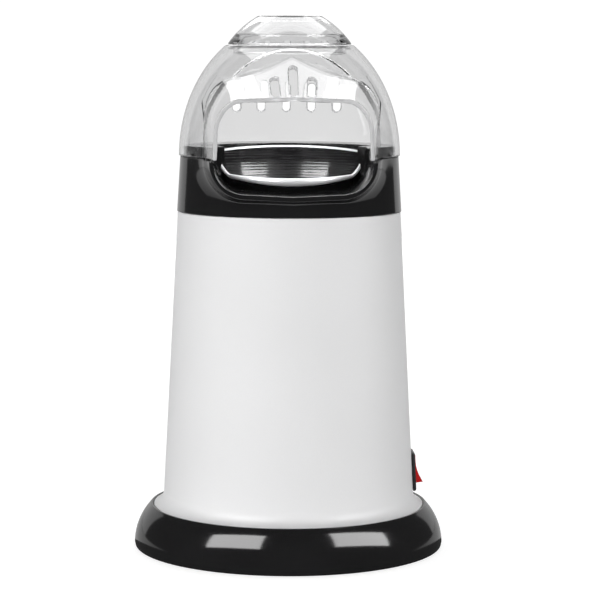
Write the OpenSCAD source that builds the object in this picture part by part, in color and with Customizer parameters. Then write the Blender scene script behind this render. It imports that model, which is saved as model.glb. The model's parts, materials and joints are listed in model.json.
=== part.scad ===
// Hot-air popcorn maker: an upright tower with a clear hood, a spout at the front and a
// measuring cap on top. Millimetres. The origin is the centre of the base on the table,
// +Z is up, the spout faces -Y and the switch is on the +X side.

/* [Body] */
// Radius of the base ring where it is widest
base_r = 82; // [80:0.5:86]
// Height of the base ring
base_h = 23.5; // [22:0.5:25]
// Radius of the white body where it meets the collar
body_top_r = 58.7; // [58:0.1:59]
// Radius of the white body just above its foot
body_foot_r = 66.4; // [66:0.1:67]
// Height of the seam between the body and the collar
seam_z = 178.7; // [176:0.1:181]
// Wall thickness of the moulded housings
wall = 2; // [1.6:0.1:2.4]

/* [Hood and spout] */
// Height of the lower edge of the hood
hood_z = 208; // [208:0.1:209]
// Outer radius of the hood at its lower edge
hood_r = 58.1; // [58:0.1:58.4]
// Height that the full dome would have above the hood's lower edge
dome_rise = 70.6; // [69:0.1:72]
// Wall thickness of the clear hood
hood_wall = 2; // [1.6:0.1:2.2]
// How far the lip of the spout lies in front of the axis
lip_y = 64.5; // [63:0.5:67]
// Half the clear width of the mouth at the lip
mouth_half = 38; // [36:0.5:40]
// Height of the top of the mouth at the lip
mouth_top = 237; // [234:0.5:238]
// Lowest point of the spout at the lip
spout_low = 189.7; // [188:0.1:191]

/* [Cap] */
// Height of the cap's flat top, which is the height of the whole maker
cap_top = 280.7; // [279:0.1:283]
// Radius of the cap's flat top
cap_top_r = 17.9; // [16:0.1:20]

/* [Popping chamber] */
// Inner radius of the chamber
chamber_r = 40; // [39:0.1:40]
// Height of the chamber's floor
chamber_floor = 104; // [102:0.5:106]
// Number of slanted air slots around the chamber's foot
louvres = 12; // [6:1:16]

/* [Fan and motor] */
// Radius of the fan impeller
fan_r = 36; // [32:0.5:38]
// Number of impeller blades
blades = 11; // [7:1:13]
// Radius of the motor's steel can
motor_r = 16; // [14:0.5:17]
// Radius of the motor shaft
shaft_r = 1.15; // [1:0.05:1.5]

/* [Switch] */
// Height of the middle of the switch
switch_z = 40; // [38:0.5:44]
// Height of the switch bezel
bezel_h = 21; // [20:0.5:22]
// Width of the switch bezel
bezel_w = 15; // [14:0.5:16]

/* [Hidden] */
$fn = 96;
gap = 0.3;          // clearance between pieces that move apart
slit = 0.15;        // clearance between pieces that sit in each other
past = 1;           // how far a cut runs past the face that it opens

white = [0.9, 0.9, 0.91];
black = [0.05, 0.05, 0.055];
clear = [0.85, 0.88, 0.9, 0.35];
steel = [0.72, 0.73, 0.75];
brass = [0.8, 0.66, 0.35];

// Base ring
ring_low = 0.8;                 // its lower edge, just above the feet's soles
ring_wide_z = 2;                // height at which it is widest
ring_bulge = 30;                // radius of its rounded side
ring_wall = 2.4;
seat_r = 71.9;                  // radius of the recess that the body's flange sits in
seat_z = 21.1;
ledge_r = 67.5;
boss_ring_r = 70.5;             // radius on which the screw bosses stand
boss_angles = [0, 90, 180, 270];
boss_r = 3.6;
screw_r = 1.5;
foot_ring_r = 73;
foot_angles = [45, 135, 225, 315];
foot_r = 3.8;
plate_low = 3.5;                // underside of the bottom plate
plate_h = 2.5;

// White body
flange_r = 71.6;
flange_top = 22.7;
fillet_z = 30;                  // where the foot's hollow fillet starts
fillet_r = 7.1;
spigot_h = 5;                   // the rim that locates the collar

// Collar
collar_low_r = 59.1;
collar_top_r = 57.4;
shoulder_z = hood_z - gap;
neck_r = hood_r - hood_wall - 0.4;
neck_z = 213.5;
deck_z = 207.6;                 // underside of the collar's deck
deck_lip_z = 211.4;             // top of the deck at its inner edge
deck_hole_r = chamber_r + 3;
rod_r = 2;
rod_ring_r = 51.5;
rod_angles = [-14, 60, 120, 194];
rod_boss_r = 3.5;

// Hood
cap_seat_z = 265.7;             // flat top of the hood, which the cap covers
fill_r = 30.2;                  // radius of the filling hole
front_y = -36;                  // plane in which the dome ends and the spout begins
gable_top = 263;                // ridge of the spout's roof at that plane
gable_side = 246.5;             // the roof's two ends at that plane
side_half = 46.6;               // half the spout's width at that plane
slot_w = 4.2;
slot_pitch = 9.4;
slot_front = -62.4;             // where the roof's slots start, just behind the lip
rear_slots = 5;
rear_slot_pitch = 13.7;

// Cap
cap_low = cap_seat_z + gap;
cap_r = 32.7;
cap_bulge = 48;                 // radius of the cap's rounded side
cap_skirt_low = 258.5;
cap_skirt_r = fill_r - 0.5;

// Chamber
sheet = 0.8;
throat_r = chamber_r - 3.2;     // its inner radius below the flare at the top
flare = [[0, 205], [-0.2, 202.5], [-0.7, 200], [-1.6, 196.5], [-2.6, 192.5], [-3.2, 188]];
lip_r = chamber_r - 1.7;        // inner radius where the front lip is rolled
chamber_rim = 211.2;
rim_bead = 1.1;
scoop_z = 196;                  // height of the rolled lip at the front
scoop_bead = 1.8;
scoop_half = 31;
flange_z = deck_z - sheet - 0.8;
flange_out = 47.5;
flange_screws = [0, 50, 130, 180];
flange_screw_r = 45.2;          // radius on which those screws stand
flange_front = 22;              // the mounting flange ends this far in front of the axis

// Heater
heater_r = 45;
heater_rim_r = heater_r + 4;
heater_screws = [20, 110, 200, 290];
heater_screw_r = 47.6;
heater_low = 76;
heater_high = 131;
coil_radii = [20, 28, 36];
coil_heights = [84, 90, 96];
coil_wire = 1;
shield_r = 47.4;
shield_top = 170;

// Fan and motor
fan_low = 54;
fan_top = 68.4;
fan_plate = 1.4;
blade_r = fan_r * 0.62;         // radius of each curved blade
fan_wall = 2;
fan_box_r = 42;
fan_box_low = 50;
inlet_r = 20;
can_low = 14;
can_top = 46;
mount_z = can_top;
mount_t = 1.6;
post_ring_r = 34;
post_angles = [30, 150, 270];
can_screw_r = 10;               // radius on which the motor's two screws stand
bush_r = 3;
bush_h = 4;

// Electrics
block = [24, 12, 11];
poles = [4, 12, 20];            // places of the block's three poles along its length
block_at = [-16, 28, 6];
board = [28, 20, 1.6];
board_at = [-52, -36, 11];
cord_z = 36;
cord_r = 3.4;
nose_from = 1.4;                // where the gland's close bore starts, outside the wall
nose_to = 10;
clamp_y = 54;
clamp_low = 30;
clamp_h = 11;
clamp_w = 18;
clamp_d = 8;
clamp_screw_x = 6.6;
bezel_t = 2;
pivot_in = 1.8;                 // the rocker's pivot lies this far inside the wall's face
rocker_tilt = 13;
rocker_half = 7.8;
pivot_pin = 1.2;
switch_depth = 14;
switch_in = 43.4;               // where the leads meet the switch's blades

// Radius of the white body at a height above its fillet.
function body_r(z) =
  body_foot_r + (body_top_r - body_foot_r) * (z - fillet_z) / (seam_z - fillet_z);
// Radius of the dome at a height, for a shell that is inset by a distance.
function dome_r(z, inset) =
  (hood_r - inset) * sqrt(max(0, 1 - pow((z - hood_z) / (dome_rise - inset), 2)));
// Points of an arc, each [radius, height], from one angle to another.
function arc(cx, cz, r, a0, a1, steps) =
  [for (i = [0 : steps]) let (a = a0 + (a1 - a0) * i / steps) [cx + r * cos(a), cz + r * sin(a)]];

// A flat disc with a hole.
module washer(r_out, r_in, z0, z1) {
  translate([0, 0, z0]) difference() {
    cylinder(r = r_out, h = z1 - z0);
    translate([0, 0, -past]) cylinder(r = r_in, h = z1 - z0 + 2 * past);
  }
}

// Copies of a piece on a ring of points at given angles.
module around(angles, radius) {
  for (a = angles) rotate([0, 0, a]) translate([radius, 0, 0]) children();
}

// A pan-head screw: the head's face is at z = 0 and the shank goes up.
module screw(shank, length, head, head_h) {
  translate([0, 0, -0.3]) cylinder(r = shank, h = length + 0.3, $fn = 24);
  difference() {
    translate([0, 0, -head_h]) cylinder(r = head, h = head_h, $fn = 32);
    for (a = [0, 90])
      rotate([0, 0, a]) translate([-head * 0.6, -0.35, -head_h - past]) cube([head * 1.2, 0.7, past + 0.6]);
  }
}

// A round lead swept along hand-placed points.
module lead(route, r, sides) {
  n = len(route);
  tangent = [for (i = [0 : n - 1])
    let (d = route[min(i + 1, n - 1)] - route[max(i - 1, 0)]) d / norm(d)];
  side = [for (t = tangent) let (c = cross(t, [0.6, -0.7, 0.39])) c / norm(c)];
  rise = [for (i = [0 : n - 1]) cross(side[i], tangent[i])];
  points = [for (i = [0 : n - 1]) for (k = [0 : sides - 1])
    route[i] + r * (cos(360 * k / sides) * side[i] + sin(360 * k / sides) * rise[i])];
  skin = [for (i = [0 : n - 2]) for (k = [0 : sides - 1]) for (upper = [0, 1])
    let (j = (k + 1) % sides, a = i * sides, b = a + sides)
    upper == 1 ? [a + k, b + j, b + k] : [a + k, a + j, b + j]];
  first = [for (k = [sides - 1 : -1 : 0]) k];
  last = [for (k = [0 : sides - 1]) (n - 1) * sides + k];
  polyhedron(points, concat(skin, [first, last]));
}

// A point of the smooth curve through a lead's route, on the stretch after point i.
function between(p, i, t) =
  let (a = p[max(i - 1, 0)], b = p[i], c = p[i + 1], d = p[min(i + 2, len(p) - 1)])
  b + 0.5 * t * (c - a + t * (2 * a - 5 * b + 4 * c - d + t * (3 * (b - c) + d - a)));
function route(p, steps) =
  concat([for (i = [0 : len(p) - 2]) for (k = [0 : steps - 1]) between(p, i, k / steps)], [p[len(p) - 1]]);

module body_shell() {
  color(white) difference() {
    rotate_extrude($fn = 128) polygon(concat(
      [[body_top_r, seam_z]],
      arc(body_foot_r + fillet_r, fillet_z, fillet_r, 180, 254, 6),
      [[flange_r, flange_top], [flange_r, seat_z], [body_foot_r - wall, seat_z],
       [body_foot_r - wall, fillet_z - 2], [body_top_r - wall, seam_z - spigot_h],
       [body_top_r - wall, seam_z + spigot_h], [body_top_r - wall + 0.9, seam_z + spigot_h],
       [body_top_r - wall + 0.9, seam_z]]));
    at_switch() translate([-8, -bezel_w / 2 + 1, -bezel_h / 2 + 1]) cube([16, bezel_w - 2, bezel_h - 2]);
    translate([0, body_foot_r - 10, cord_z]) rotate([-90, 0, 0]) cylinder(r = 5.2, h = 20);
  }
}

// One section of the spout's lower half: a U with rounded corners, as a thin slice.
module trough_slice(y, half, corner, corner_z, low) {
  translate([0, y, 0]) rotate([90, 0, 0]) linear_extrude(0.2) hull() {
    for (s = [-1, 1]) translate([s * (half - corner), corner_z]) circle(r = corner, $fn = 40);
    translate([0, low + corner]) circle(r = corner, $fn = 40);
    for (s = [-1, 1]) translate([s * (half - 0.5), 225]) circle(r = 0.5, $fn = 16);
  }
}

module trough_outside() {
  hull() {
    trough_slice(-lip_y + 0.2, 42.2, 17.4, 205.9, spout_low - 2.4);
    trough_slice(-26, 47.6, 20, 203, 179.5);
  }
}

module trough_inside() {
  hull() {
    trough_slice(-lip_y - 2, 40, 15, 206, spout_low);
    trough_slice(-24, 38.5, 13, 205.5, 192.3);
  }
}

module upper_collar() {
  color(black) difference() {
    union() {
      rotate_extrude($fn = 128) polygon([
        [collar_low_r, seam_z], [collar_top_r, shoulder_z], [neck_r, shoulder_z], [neck_r, neck_z],
        [neck_r - wall, neck_z], [deck_hole_r, deck_lip_z], [deck_hole_r, deck_z],
        [collar_top_r - wall - 0.2, deck_z], [body_top_r - wall + 1.1, seam_z + spigot_h],
        [body_top_r - wall + 1.1, seam_z]]);
      intersection() {
        trough_outside();
        union() {
          washer(neck_r, deck_hole_r, 170, neck_z);
          washer(base_r, neck_r - 1, 170, shoulder_z);
        }
      }
      intersection() {
        around(rod_angles, rod_ring_r) translate([0, 0, 188]) cylinder(r = rod_boss_r, h = 22, $fn = 40);
        washer(neck_r + 1, 44, 180, deck_z + 1);
      }
    }
    trough_inside();
    for (m = [0, 1]) mirror([m, 0, 0]) translate([0, 0, shoulder_z])
      linear_extrude(10) polygon([[44.4, -28.5], [60, -28.5], [60, -70], [37, -66]]);
    around(rod_angles, rod_ring_r) translate([0, 0, 187]) cylinder(r = rod_r + slit, h = 20, $fn = 32);
    around(flange_screws, flange_screw_r)
      translate([0, 0, deck_z - past]) cylinder(r = 1.2, h = 3.2, $fn = 24);
  }
}

module base_ring() {
  cx = base_r - ring_bulge;
  top_angle = asin((base_h - ring_wide_z) / ring_bulge);
  color(black) difference() {
    union() {
      rotate_extrude($fn = 144) polygon(concat(
        [[base_r - 0.9, ring_low]],
        arc(cx, ring_wide_z, ring_bulge, 0, top_angle, 12),
        [[seat_r, base_h - 0.3], [seat_r, seat_z], [ledge_r, seat_z], [ledge_r, seat_z - ring_wall]],
        arc(cx, ring_wide_z, ring_bulge - ring_wall, 34, 2, 8),
        [[base_r - ring_wall - 0.7, ring_low]]));
      intersection() {
        around(boss_angles, boss_ring_r)
          translate([0, 0, 6]) cylinder(r = boss_r, h = 14, $fn = 40);
        cylinder(r = 74.6, h = 60);
      }
      around(foot_angles, foot_ring_r) translate([0, 0, ring_low])
        cylinder(r = 5.5, h = 2.6, $fn = 48);
      around(foot_angles, foot_ring_r) translate([3, -4, ring_low]) cube([5, 8, 2.6]);
    }
    around(boss_angles, boss_ring_r) translate([0, 0, 5]) cylinder(r = 1.3, h = 12, $fn = 24);
    around(foot_angles, foot_ring_r) translate([0, 0, -past]) cylinder(r = foot_r + 0.2, h = 3.2, $fn = 40);
  }
}

module bottom_plate() {
  color(black) difference() {
    union() {
      translate([0, 0, plate_low]) cylinder(r = 76, h = plate_h);
      translate([-clamp_w / 2, clamp_y - clamp_d / 2, plate_low])
        cube([clamp_w, clamp_d, clamp_low - plate_low]);
      for (dx = [4, board[0] - 4]) for (dy = [4, board[1] - 4])
        translate([board_at[0] + dx, board_at[1] + dy, 4]) cylinder(r = 2.4, h = board_at[2] - 4, $fn = 32);
    }
    for (k = [0 : 3]) for (a = [0 : 20 : 340])
      rotate([0, 0, a]) translate([13 + 6 * k, -0.9, 2]) cube([4.4, 1.8 + 0.25 * k, 5]);
    around(foot_angles, foot_ring_r) cylinder(r = 6.2, h = 10, $fn = 40);
    around(boss_angles, boss_ring_r) cylinder(r = screw_r + slit, h = 10, $fn = 24);
    around(rod_angles, rod_ring_r) cylinder(r = rod_r + slit, h = 10, $fn = 32);
    for (s = [-1, 1])
      translate([s * clamp_screw_x, clamp_y, clamp_low - 12]) cylinder(r = 1, h = 14, $fn = 24);
  }
}

module feet() {
  color([0.12, 0.12, 0.12]) around(foot_angles, foot_ring_r) {
    cylinder(r = foot_r - 0.2, h = 1.2, $fn = 40);
    translate([0, 0, 0.6]) cylinder(r = foot_r, h = 1.5, $fn = 40);
  }
}

module base_screws() {
  color(steel) around(boss_angles, boss_ring_r) translate([0, 0, plate_low]) screw(1.25, 11, 2.8, 1.8);
}

module tie_rods() {
  color(steel) around(rod_angles, rod_ring_r) translate([0, 0, plate_low]) {
    cylinder(r = rod_r, h = 202, $fn = 32);
    translate([0, 0, -2]) cylinder(r = 3.6, h = 2, $fn = 6);
  }
}

module tie_nuts() {
  color(steel) around(rod_angles, rod_ring_r) translate([0, 0, plate_low + plate_h]) difference() {
    cylinder(r = 3.8, h = 3, $fn = 6);
    translate([0, 0, -past]) cylinder(r = rod_r + 0.02, h = 5, $fn = 32);
  }
}

module popping_chamber() {
  color([0.35, 0.35, 0.36]) difference() {
    union() {
      rotate_extrude($fn = 120) polygon([
        [0, chamber_floor + 5], [10, chamber_floor + 4], [26, chamber_floor],
        [throat_r + sheet, chamber_floor],
        for (i = [5 : -1 : 0]) [chamber_r + sheet + flare[i][0], flare[i][1]],
        [chamber_r + sheet, chamber_rim], [chamber_r, chamber_rim],
        for (f = flare) [chamber_r + f[0], f[1]],
        [throat_r, chamber_floor + sheet],
        [26, chamber_floor + sheet], [10, chamber_floor + 4 + sheet], [0, chamber_floor + 5 + sheet]]);
      rotate_extrude($fn = 120)
        translate([chamber_r + rim_bead, chamber_rim]) circle(r = rim_bead, $fn = 24);
      difference() {
        washer(flange_out, chamber_r + sheet - 0.1, flange_z, flange_z + sheet);
        translate([-60, -60, flange_z - past]) cube([120, 60 - flange_front, 5]);
      }
    }
    chamber_scoop();
    for (i = [0 : louvres - 1]) rotate([0, 0, (i + 0.5) * 360 / louvres])
      translate([throat_r - 2, 0, chamber_floor + 8]) rotate([32, 0, 0])
        translate([0, -1.2, -5]) cube([5, 2.4, 10]);
    around(flange_screws, flange_screw_r)
      translate([0, 0, flange_z - past]) cylinder(r = 1.7, h = 3, $fn = 24);
  }
  color([0.35, 0.35, 0.36]) chamber_lip();
}

// The part of the chamber's wall that is cut away for the spout.
module chamber_scoop() {
  hull() {
    translate([-scoop_half, -60, scoop_z]) cube([2 * scoop_half, 60 - 20, 1]);
    translate([-36.5, -60, 214]) cube([73, 60 - 12, 1]);
  }
}

// The rolled metal lip along the lower edge of that cut.
module chamber_lip() {
  sweep_angle = asin(scoop_half / (lip_r + scoop_bead)) - 1;
  rotate([0, 0, 270 - sweep_angle]) rotate_extrude(angle = 2 * sweep_angle, $fn = 120)
    translate([lip_r + sheet + scoop_bead - 0.7, scoop_z]) circle(r = scoop_bead, $fn = 32);
}

module chamber_gasket() {
  color([0.75, 0.3, 0.2]) difference() {
    washer(flange_out, chamber_r + 3.2, flange_z + sheet, deck_z);
    translate([-60, -60, flange_z - past]) cube([120, 60 - flange_front, 5]);
    around(flange_screws, flange_screw_r) translate([0, 0, flange_z]) cylinder(r = 1.7, h = 3, $fn = 24);
  }
}

module chamber_screws() {
  color(steel) around(flange_screws, flange_screw_r) translate([0, 0, flange_z]) screw(1.15, 3.4, 2.2, 1.6);
}

module heater_housing() {
  color(steel) {
    washer(heater_r + sheet, heater_r, heater_low, heater_high + sheet);
    washer(heater_r + 0.1, throat_r + sheet + slit, heater_high, heater_high + sheet);
    difference() {
      washer(heater_rim_r, heater_r + sheet - 0.1, heater_low, heater_low + sheet);
      around(heater_screws, heater_screw_r)
        translate([0, 0, heater_low - past]) cylinder(r = 1, h = 3, $fn = 20);
    }
  }
}

// The turns of the heating coil, with a wire of the given radius.
module coil_turns(wire) {
  for (z = coil_heights) for (r = coil_radii)
    translate([0, 0, z]) rotate_extrude() translate([r, 0]) circle(r = wire, $fn = 20);
}

module heater_frame() {
  color([0.78, 0.74, 0.62]) difference() {
    for (a = [0, 90]) rotate([0, 0, a])
      translate([-heater_r + 0.2, -0.6, 79]) cube([2 * heater_r - 0.4, 1.2, 22]);
    coil_turns(coil_wire + 0.25);
  }
}

module heating_coil() {
  color([0.55, 0.5, 0.48]) coil_turns(coil_wire);
}

module heat_shield() {
  color(steel) washer(shield_r + 0.5, shield_r, heater_low + sheet, shield_top);
}

module thermostat() {
  color([0.9, 0.88, 0.82]) translate([0, throat_r + sheet, 178]) rotate([-90, 0, 0]) {
    cylinder(r = 8, h = 2, $fn = 48);
    translate([0, 0, 2]) cylinder(r = 6.5, h = 3.2, $fn = 48);
  }
}

module thermal_fuse() {
  color(steel) translate([-10, chamber_r + 1.2, 191]) rotate([0, 90, 0]) cylinder(r = 1.6, h = 20, $fn = 24);
}

module fan_housing() {
  color([0.2, 0.2, 0.21]) difference() {
    union() {
      washer(fan_box_r + fan_wall, fan_box_r, fan_box_low, heater_low);
      washer(fan_box_r + 0.5, inlet_r, fan_box_low, fan_box_low + fan_wall);
      washer(heater_rim_r, fan_box_r + 1, heater_low - 3, heater_low);
    }
    around(heater_screws, heater_screw_r)
      translate([0, 0, heater_low - 4]) cylinder(r = 1, h = 6, $fn = 20);
    around(post_angles, post_ring_r)
      translate([0, 0, fan_box_low - past]) cylinder(r = 1.25, h = 6, $fn = 24);
  }
}

module fan_housing_screws() {
  color(steel) around(heater_screws, heater_screw_r)
    translate([0, 0, heater_low - 3]) screw(0.95, 3.7, 1.3, 1);
}

module motor_mount() {
  color(steel) difference() {
    union() {
      translate([0, 0, mount_z]) cylinder(r = 18, h = mount_t);
      for (a = post_angles) rotate([0, 0, a])
        translate([can_screw_r, -5, mount_z]) cube([post_ring_r - can_screw_r, 10, mount_t]);
      around(post_angles, post_ring_r) translate([0, 0, mount_z]) cylinder(r = 5, h = mount_t, $fn = 40);
      around(post_angles, post_ring_r)
        translate([0, 0, mount_z]) cylinder(r = 2.6, h = fan_box_low - mount_z, $fn = 32);
    }
    translate([0, 0, mount_z - past]) cylinder(r = 5.1, h = 5);
    around(post_angles, post_ring_r) translate([0, 0, mount_z - past]) cylinder(r = 1.45, h = 8, $fn = 24);
    around([0, 180], can_screw_r) translate([0, 0, mount_z - past]) cylinder(r = 1.45, h = 4, $fn = 24);
  }
}

module motor_mount_screws() {
  color(steel) {
    around(post_angles, post_ring_r) translate([0, 0, mount_z]) screw(1.2, 5.6, 2.5, 1.6);
    around([0, 180], can_screw_r)
      translate([0, 0, mount_z + mount_t]) mirror([0, 0, 1]) screw(1.2, 3.4, 2.2, 1.2);
  }
}

module motor_can() {
  color(steel) difference() {
    union() {
      translate([0, 0, can_low]) cylinder(r = motor_r, h = can_top - can_low);
      translate([0, 0, can_top - 1]) cylinder(r = 4.8, h = 4);
    }
    translate([0, 0, can_low - past]) cylinder(r = motor_r - 1, h = can_top - can_low);
    translate([0, 0, can_top - 3]) cylinder(r = bush_r, h = 8, $fn = 40);
    around([0, 180], can_screw_r) translate([0, 0, can_top - 3]) cylinder(r = 1.25, h = 6, $fn = 24);
    around([90, 270], motor_r)
      translate([0, 0, can_low + 8]) rotate([0, 90, 0]) cylinder(r = 2.4, h = 8, center = true);
  }
}

module motor_end_cap() {
  color([0.85, 0.85, 0.8]) difference() {
    union() {
      translate([0, 0, can_low - 3]) cylinder(r = motor_r, h = 3);
      translate([0, 0, can_low - 0.1]) cylinder(r = motor_r - 1.1, h = 1.6);
      translate([0, 0, can_low - 5]) cylinder(r = 5, h = 3);
    }
    translate([0, 0, can_low - 6]) cylinder(r = bush_r, h = 10, $fn = 40);
  }
}

module motor_magnets() {
  color([0.25, 0.25, 0.27]) intersection() {
    washer(motor_r - 1.05, motor_r - 3.4, can_low + 4, can_top - 5);
    for (s = [-1, 1]) translate([s * 18, 0, can_low]) cube([20, 21, 70], center = true);
  }
}

module upper_bush() {
  color(brass) washer(bush_r, shaft_r + 0.05, can_top - 1, can_top - 1 + bush_h);
}

module lower_bush() {
  color(brass) washer(bush_r, shaft_r + 0.05, can_low - 4.5, can_low - 4.5 + bush_h);
}

module motor_shaft() {
  color(steel) translate([0, 0, can_low - 5]) cylinder(r = shaft_r, h = 58, $fn = 40);
}

module motor_armature() {
  color([0.5, 0.3, 0.15]) difference() {
    union() {
      for (a = [0, 120, 240]) rotate([0, 0, a]) {
        translate([3, -2, can_low + 7]) cube([7.5, 4, 20]);
        rotate([0, 0, -44]) rotate_extrude(angle = 88) translate([9.6, can_low + 7]) square([2.2, 20]);
      }
      translate([0, 0, can_low + 7]) cylinder(r = 4, h = 20);
    }
    cylinder(r = shaft_r, h = 90, $fn = 40);
  }
}

module commutator() {
  color(brass) washer(3.4, shaft_r, can_low + 2, can_low + 6);
}

module fan_impeller() {
  color([0.85, 0.85, 0.86]) difference() {
    union() {
      washer(fan_r, shaft_r, fan_top - fan_plate, fan_top);
      translate([0, 0, fan_low]) cylinder(r = 4.5, h = fan_top - fan_low);
      washer(fan_r, fan_r - 8, fan_low, fan_low + 1);
      intersection() {
        for (i = [0 : blades - 1]) rotate([0, 0, i * 360 / blades])
          translate([0, blade_r, fan_low]) washer(blade_r + 1.2, blade_r, 0, fan_top - fan_low);
        washer(fan_r, 15, fan_low, fan_top);
        // Only the half of each circle that sweeps outwards is kept.
        union() for (i = [0 : blades - 1]) rotate([0, 0, i * 360 / blades]) fan_wedge();
      }
    }
    cylinder(r = shaft_r, h = 90, $fn = 40);
  }
}

module fan_wedge() {
  translate([0, 0, fan_low]) linear_extrude(fan_top - fan_low)
    polygon([[0, 0], [fan_r + 4, 6], [fan_r + 4, 11], [0, 3]]);
}

module rectifier_board() {
  color([0.55, 0.42, 0.2]) translate(board_at) difference() {
    cube(board);
    for (dx = [4, board[0] - 4]) for (dy = [4, board[1] - 4])
      translate([dx, dy, -past]) cylinder(r = 1.2, h = 4, $fn = 24);
  }
}

module rectifier_diodes() {
  color([0.1, 0.1, 0.1]) for (i = [0 : 3])
    translate([board_at[0] + 8 + 4 * i, board_at[1] + 5.5, board_at[2] + board[2] + 1.45])
      rotate([-90, 0, 0]) {
        cylinder(r = 1.4, h = 6, $fn = 24);
        translate([0, 0, -2]) cylinder(r = 0.4, h = 10, $fn = 16);
      }
}

module terminal_block() {
  color([0.85, 0.85, 0.82]) translate(block_at) difference() {
    cube(block);
    for (x = poles) translate([x, -past, 4.5]) rotate([-90, 0, 0]) cylinder(r = 1.6, h = 20, $fn = 24);
    for (x = poles) translate([x, block[1] / 2, 5]) cylinder(r = 1.8, h = 10, $fn = 24);
  }
}

module terminal_screws() {
  color(brass) for (x = poles)
    translate([block_at[0] + x, block_at[1] + block[1] / 2, block_at[2] + 6.2])
      cylinder(r = 1.7, h = 3, $fn = 24);
}

// The rubber gland: a flange outside the wall, a ring inside it and a short tapered nose.
module cord_grommet() {
  color([0.08, 0.08, 0.08]) translate([0, body_r(cord_z), cord_z]) rotate([-90, 0, 0]) difference() {
    union() {
      translate([0, 0, -4.6]) cylinder(r = 5, h = nose_from + 4.6);
      translate([0, 0, 0.4]) cylinder(r = 6.9, h = 2.4);
      translate([0, 0, -5]) cylinder(r = 6.4, h = 2);
      translate([0, 0, nose_from]) cylinder(r1 = 5.8, r2 = 4.9, h = nose_to - nose_from);
    }
    translate([0, 0, nose_from - past]) cylinder(r = cord_r, h = nose_to - nose_from + 2 * past, $fn = 48);
    translate([0, 0, -5 - past]) cylinder(r = cord_r + 0.6, h = nose_from + 5 + past, $fn = 48);
  }
}

module cord_clamp() {
  color([0.15, 0.15, 0.16]) difference() {
    translate([-clamp_w / 2, clamp_y - clamp_d / 2, clamp_low]) cube([clamp_w, clamp_d, clamp_h]);
    translate([0, clamp_y - 6, cord_z]) rotate([-90, 0, 0]) cylinder(r = cord_r, h = 12, $fn = 48);
    for (s = [-1, 1])
      translate([s * clamp_screw_x, clamp_y, clamp_low - 2]) cylinder(r = 1.2, h = 20, $fn = 24);
  }
}

module clamp_screws() {
  color(steel) for (s = [-1, 1])
    translate([s * clamp_screw_x, clamp_y, clamp_low + clamp_h])
      mirror([0, 0, 1]) screw(0.95, 20, 1.9, 1.4);
}

// The switch's own frame: x = 0 is the wall's face at the switch, which leans with the wall.
module at_switch() {
  lean = atan((body_foot_r - body_top_r) / (seam_z - fillet_z));
  translate([body_r(switch_z), 0, switch_z]) rotate([0, -lean, 0]) children();
}

module switch_housing() {
  color([0.04, 0.04, 0.045]) at_switch() difference() {
    union() {
      translate([0.05, -bezel_w / 2, -bezel_h / 2]) cube([bezel_t, bezel_w, bezel_h]);
      translate([-switch_depth, -bezel_w / 2 + 1.2, -bezel_h / 2 + 1.2])
        cube([switch_depth + 1, bezel_w - 2.4, bezel_h - 2.4]);
    }
    translate([-9, -5.2, -rocker_half - 1.5]) cube([20, 10.4, 2 * rocker_half + 3]);
    translate([-pivot_in, -6.1, 0]) rotate([-90, 0, 0]) cylinder(r = pivot_pin + 0.05, h = 12.2, $fn = 32);
  }
}

module switch_terminals() {
  color(brass) at_switch() for (dz = [-6.4, 0, 6.4])
    translate([-switch_depth - 7, -2.4, dz - 0.4]) cube([7, 4.8, 0.8]);
}

// The rocker: two faces that meet over the pivot, its lower end out and its upper end in.
module switch_rocker() {
  color([0.75, 0.05, 0.05]) at_switch() translate([-pivot_in, 0, 0]) rotate([0, -rocker_tilt, 0])
    rotate([90, 0, 0]) {
      linear_extrude(9.8, center = true) polygon([
        [4.6, 0], [6.2, rocker_half], [-1, 6.6], [-4, 2.4], [-4, -2.4], [-1, -6.6], [6.2, -rocker_half]]);
      cylinder(r = pivot_pin, h = 11.8, center = true, $fn = 32);
    }
}

module mains_leads() {
  color([0.3, 0.2, 0.12]) {
    lead(route([[-4, 40.1, 10.5], [-3, 43.5, 11.5], [4, 46.5, 13.5], [16, 43, 14.5], [32, 30, 15],
      [43, 15, 24], [39.5, 6, 34], [39.6, 1.6, 38.6], [switch_in, 0, 39.6]], 5), 1.1, 8);
    lead(route([[4, 40.1, 10.5], [7, 43, 9.6], [18, 38, 8.6], [32, 26, 10], [37, 13, 20],
      [37.2, 4.6, 29], [39.4, 1.2, 32.4], [switch_in, 0, 33.2]], 5), 1.1, 8);
  }
}

module heater_leads() {
  color([0.75, 0.72, 0.68]) {
    lead(route([[switch_in, 0, 46], [40, 1, 46.5], [39.5, 8, 45.6], [43, 19, 45], [45.5, 26.8, 56],
      [45.5, 26.8, 80], [45.5, 26.8, 150], [42, 30, 172], [30, 35, 179], [16, 40.5, 179],
      [7.8, 41.4, 178]], 4), 0.9, 8);
    lead(route([[-12, 40.1, 10.5], [-14, 43, 11.5], [-26, 36, 18], [-38, 29, 36], [-42.5, 32, 52],
      [-42.5, 32, 90], [-42.5, 32, 150], [-40, 34, 174], [-33, 37, 184], [-24, 38, 188.5],
      [-16, 40.4, 190.7], [-10.8, 41.2, 191]], 4), 0.9, 8);
  }
}

module motor_leads() {
  color([0.7, 0.1, 0.1]) for (a = [212, 240]) lead(route([
    [board_at[0] + board[0] - 1, a == 212 ? -19 : -29, board_at[2] + board[2] + 0.8],
    [board_at[0] + board[0] + 3, a == 212 ? -18 : -28, 13],
    [20 * cos(a), 20 * sin(a), 12.8],
    [(motor_r + 0.8) * cos(a), (motor_r + 0.8) * sin(a), 12.5]], 4), 0.7, 8);
}

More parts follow.
